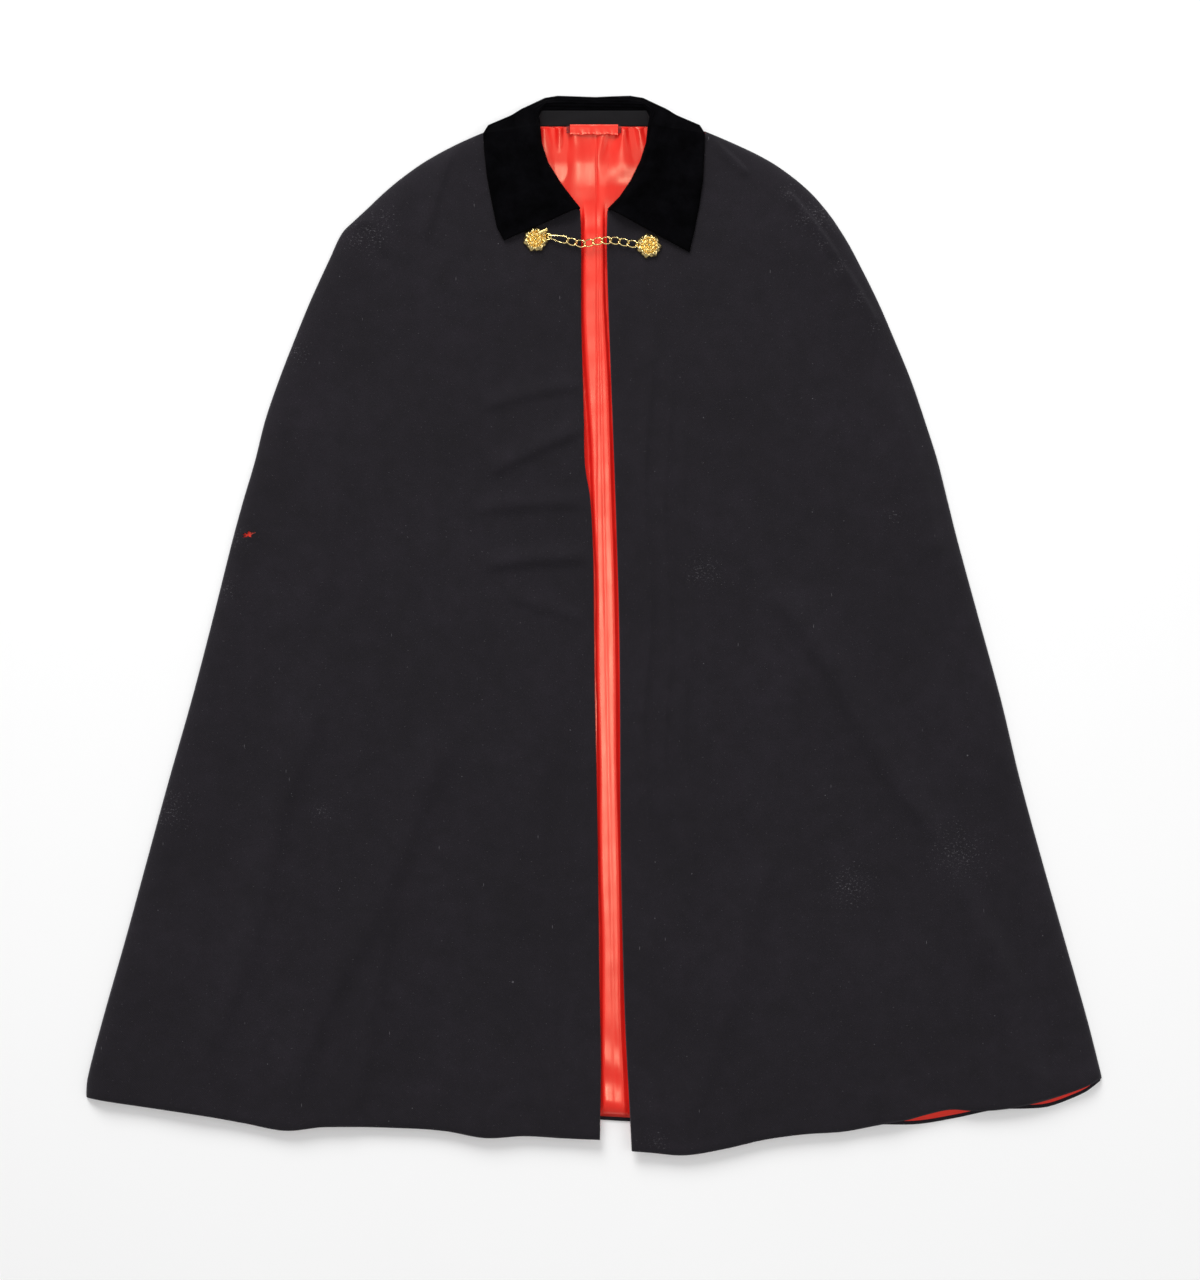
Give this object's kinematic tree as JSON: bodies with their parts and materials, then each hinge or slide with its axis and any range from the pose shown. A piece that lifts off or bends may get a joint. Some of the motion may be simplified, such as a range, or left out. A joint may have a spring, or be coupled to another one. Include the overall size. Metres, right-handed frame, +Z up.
{
  "type": "cape",
  "caption": "Lined wool cape lying flat, with a velvet fold-down collar, turn-back front edges, a hanger loop and a chain-and-hook neck clasp.",
  "frame": {"origin": "centre of the cape's outline, on the surface that it lies on", "axes": "+Y runs from the hem to the collar, +X is the viewer's right, +Z is up out of the laid cape"},
  "size_m": [1.122, 1.167, 0.024],
  "materials": {
    "black_wool": "matte felted wool",
    "red_satin": "glossy satin",
    "black_velvet": "deep pile velvet",
    "black_cloth": "matte",
    "pale_gold": "polished pale gold plate",
    "red_thread": "thread"
  },
  "bodies": {
    "cape": {"back_shell_left": "black_wool", "back_shell_right": "black_wool", "back_lining_left": "red_satin", "back_lining_right": "red_satin", "front_shell_left": "black_wool", "front_shell_right": "black_wool", "side_edge_left": "black_wool", "side_edge_right": "black_wool", "front_lining_left": "red_satin", "front_lining_right": "red_satin", "top_collar": "black_velvet", "under_collar": "black_cloth", "collar_stand": "black_cloth", "hanger_tack_left": "red_thread", "hanger_tack_right": "red_thread", "clasp_boss_left": "pale_gold", "clasp_boss_right": "pale_gold"},
    "left_opening": {"opening_edge_left": "black_wool", "opening_lining_left": "red_satin"},
    "right_opening": {"opening_edge_right": "black_wool", "opening_lining_right": "red_satin"},
    "hanger": {"hanger_loop": "red_satin"},
    "chain_link_1": {"chain_link_1": "pale_gold"},
    "chain_link_2": {"chain_link_2": "pale_gold"},
    "chain_link_3": {"chain_link_3": "pale_gold"},
    "chain_link_4": {"chain_link_4": "pale_gold"},
    "chain_link_5": {"chain_link_5": "pale_gold"},
    "chain_link_6": {"chain_link_6": "pale_gold"},
    "chain_link_7": {"chain_link_7": "pale_gold"},
    "chain_link_8": {"chain_link_8": "pale_gold"},
    "hook": {"clasp_hook": "pale_gold"}
  },
  "joints": [
    {"name": "left_opening_turn", "type": "hinge", "parent": "cape", "child": "left_opening", "pos_m": [-0.017, 0.345, 0.0123], "axis": [-0.2328, -0.9725, 0], "range_deg": [0, 170]},
    {"name": "right_opening_turn", "type": "hinge", "parent": "cape", "child": "right_opening", "pos_m": [0.021, 0.345, 0.0123], "axis": [-0.2461, 0.9693, 0], "range_deg": [0, 170]},
    {"name": "hanger_lift", "type": "hinge", "parent": "cape", "child": "hanger", "pos_m": [0, 0.5516, 0.0089], "axis": [-1, 0, 0], "range_deg": [0, 80]},
    {"name": "link_1_lift", "type": "hinge", "parent": "cape", "child": "chain_link_1", "pos_m": [0.04678, 0.41853, 0.0163], "axis": [0.1392, 0.9903, 0], "range_deg": [0, 25]},
    {"name": "link_2_lift", "type": "hinge", "parent": "chain_link_1", "child": "chain_link_2", "pos_m": [0.03722, 0.41987, 0.0163], "axis": [0.2419, 0.9703, 0], "range_deg": [0, 25]},
    {"name": "link_3_lift", "type": "hinge", "parent": "chain_link_2", "child": "chain_link_3", "pos_m": [0.02786, 0.42221, 0.0163], "axis": [0.1045, 0.9945, 0], "range_deg": [0, 25]},
    {"name": "link_4_lift", "type": "hinge", "parent": "chain_link_3", "child": "chain_link_4", "pos_m": [0.01826, 0.42322, 0.0163], "axis": [-0.0523, 0.9986, 0], "range_deg": [0, 25]},
    {"name": "link_5_lift", "type": "hinge", "parent": "chain_link_4", "child": "chain_link_5", "pos_m": [0.00863, 0.42271, 0.0163], "axis": [-0.1392, 0.9903, 0], "range_deg": [0, 25]},
    {"name": "link_6_lift", "type": "hinge", "parent": "chain_link_5", "child": "chain_link_6", "pos_m": [-0.00093, 0.42137, 0.0163], "axis": [-0.2588, 0.9659, 0], "range_deg": [0, 25]},
    {"name": "link_7_lift", "type": "hinge", "parent": "chain_link_6", "child": "chain_link_7", "pos_m": [-0.01025, 0.41887, 0.0163], "axis": [0.1392, 0.9903, 0], "range_deg": [0, 25]},
    {"name": "link_8_lift", "type": "hinge", "parent": "chain_link_7", "child": "chain_link_8", "pos_m": [-0.01981, 0.42021, 0.0163], "axis": [0.2924, 0.9563, 0], "range_deg": [0, 25]},
    {"name": "hook_lift", "type": "hinge", "parent": "chain_link_8", "child": "hook", "pos_m": [-0.02904, 0.42303, 0.0163], "axis": [0.2079, 0.9781, 0], "range_deg": [0, 25]}
  ]
}
